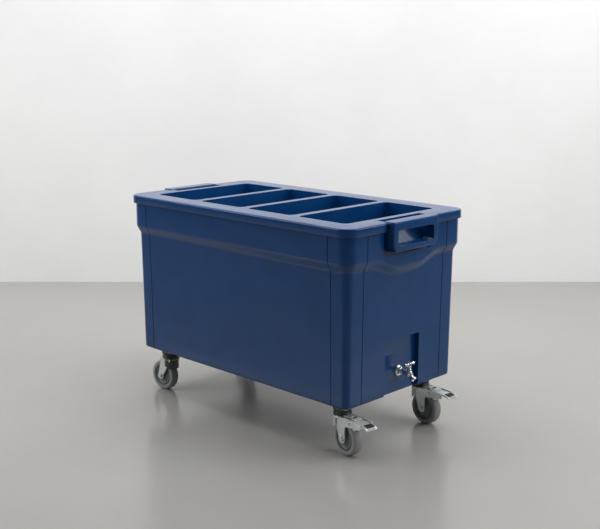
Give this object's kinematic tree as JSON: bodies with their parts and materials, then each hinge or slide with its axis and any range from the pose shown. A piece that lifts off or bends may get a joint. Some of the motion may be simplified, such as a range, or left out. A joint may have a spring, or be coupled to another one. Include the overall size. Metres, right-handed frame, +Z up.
{
  "type": "wheeled tub",
  "caption": "Open deep plastic tub on swivel casters, split into wells by cross webs, with a hand grip on each end, a drain tap and foot brakes at one end.",
  "frame": {"origin": "on the floor, under the middle of the whole box with the casters as modelled", "axes": "+X along the tub towards the tap end, +Y across it, +Z up"},
  "size_m": [1.0086, 0.52, 0.657],
  "materials": {
    "blue_plastic": "dark blue moulded polyethylene, softly glossy",
    "zinc_steel": "bright zinc-plated pressed steel",
    "chromed_brass": "polished chrome plate",
    "tyre_rubber": "grey rubber",
    "hub_plastic": "dark grey moulded plastic",
    "swivel_steel": "dark greased steel",
    "pedal_rubber": "black rubber"
  },
  "bodies": {
    "tub": {"tub_shell": "blue_plastic", "deck_liner": "blue_plastic", "web_west": "blue_plastic", "web_middle": "blue_plastic", "web_east": "blue_plastic", "grip_east": "blue_plastic", "grip_west": "blue_plastic", "tap_flange": "chromed_brass", "tap_body": "chromed_brass", "tap_lock_nut": "chromed_brass", "caster_plate_south_east": "swivel_steel", "plate_bolt_south_east_ws": "zinc_steel", "plate_bolt_south_east_wn": "zinc_steel", "plate_bolt_south_east_es": "zinc_steel", "plate_bolt_south_east_en": "zinc_steel", "caster_plate_north_east": "swivel_steel", "plate_bolt_north_east_ws": "zinc_steel", "plate_bolt_north_east_wn": "zinc_steel", "plate_bolt_north_east_es": "zinc_steel", "plate_bolt_north_east_en": "zinc_steel", "caster_plate_south_west": "swivel_steel", "plate_bolt_south_west_ws": "zinc_steel", "plate_bolt_south_west_wn": "zinc_steel", "plate_bolt_south_west_es": "zinc_steel", "plate_bolt_south_west_en": "zinc_steel", "caster_plate_north_west": "swivel_steel", "plate_bolt_north_west_ws": "zinc_steel", "plate_bolt_north_west_wn": "zinc_steel", "plate_bolt_north_west_es": "zinc_steel", "plate_bolt_north_west_en": "zinc_steel"},
    "tap_handle": {"tap_lever": "chromed_brass"},
    "swivel_south_east": {"swivel_ring_south_east": "swivel_steel", "fork_south_east": "zinc_steel", "axle_south_east": "zinc_steel", "pedal_pin_south_east": "zinc_steel"},
    "wheel_south_east": {"tyre_south_east": "tyre_rubber", "hub_south_east": "hub_plastic"},
    "brake_south_east": {"pedal_south_east": "zinc_steel", "pedal_pad_south_east": "pedal_rubber"},
    "swivel_north_east": {"swivel_ring_north_east": "swivel_steel", "fork_north_east": "zinc_steel", "axle_north_east": "zinc_steel", "pedal_pin_north_east": "zinc_steel"},
    "wheel_north_east": {"tyre_north_east": "tyre_rubber", "hub_north_east": "hub_plastic"},
    "brake_north_east": {"pedal_north_east": "zinc_steel", "pedal_pad_north_east": "pedal_rubber"},
    "swivel_south_west": {"swivel_ring_south_west": "swivel_steel", "fork_south_west": "zinc_steel", "axle_south_west": "zinc_steel"},
    "wheel_south_west": {"tyre_south_west": "tyre_rubber", "hub_south_west": "hub_plastic"},
    "swivel_north_west": {"swivel_ring_north_west": "swivel_steel", "fork_north_west": "zinc_steel", "axle_north_west": "zinc_steel"},
    "wheel_north_west": {"tyre_north_west": "tyre_rubber", "hub_north_west": "hub_plastic"}
  },
  "joints": [
    {"name": "tap_turn", "type": "hinge", "parent": "tub", "child": "tap_handle", "pos_m": [0.46268, 0.004, 0.237], "axis": [0, 0, 1], "range_deg": [0, 90]},
    {"name": "caster_swivel_south_east", "type": "hinge", "parent": "tub", "child": "swivel_south_east", "pos_m": [0.37268, -0.176, 0.113], "axis": [0, 0, 1], "continuous": true},
    {"name": "wheel_turn_south_east", "type": "hinge", "parent": "swivel_south_east", "child": "wheel_south_east", "pos_m": [0.39825, -0.18074, 0.05], "axis": [0.1822, 0.9833, 0], "continuous": true},
    {"name": "brake_press_south_east", "type": "hinge", "parent": "swivel_south_east", "child": "brake_south_east", "pos_m": [0.42676, -0.18602, 0.105], "axis": [0.1822, 0.9833, 0], "range_deg": [0, 7]},
    {"name": "caster_swivel_north_east", "type": "hinge", "parent": "tub", "child": "swivel_north_east", "pos_m": [0.37268, 0.176, 0.113], "axis": [0, 0, 1], "continuous": true},
    {"name": "wheel_turn_north_east", "type": "hinge", "parent": "swivel_north_east", "child": "wheel_north_east", "pos_m": [0.39856, 0.17346, 0.05], "axis": [0.0976, 0.9952, 0], "continuous": true},
    {"name": "brake_press_north_east", "type": "hinge", "parent": "swivel_north_east", "child": "brake_north_east", "pos_m": [0.42742, 0.17063, 0.105], "axis": [0.0976, 0.9952, 0], "range_deg": [0, 7]},
    {"name": "caster_swivel_south_west", "type": "hinge", "parent": "tub", "child": "swivel_south_west", "pos_m": [-0.39532, -0.176, 0.113], "axis": [0, 0, 1], "continuous": true},
    {"name": "wheel_turn_south_west", "type": "hinge", "parent": "swivel_south_west", "child": "wheel_south_west", "pos_m": [-0.42122, -0.17822, 0.05], "axis": [0.0854, -0.9963, 0], "continuous": true},
    {"name": "caster_swivel_north_west", "type": "hinge", "parent": "tub", "child": "swivel_north_west", "pos_m": [-0.39532, 0.176, 0.113], "axis": [0, 0, 1], "continuous": true},
    {"name": "wheel_turn_north_west", "type": "hinge", "parent": "swivel_north_west", "child": "wheel_north_west", "pos_m": [-0.42075, 0.18141, 0.05], "axis": [-0.2079, -0.9781, 0], "continuous": true}
  ]
}
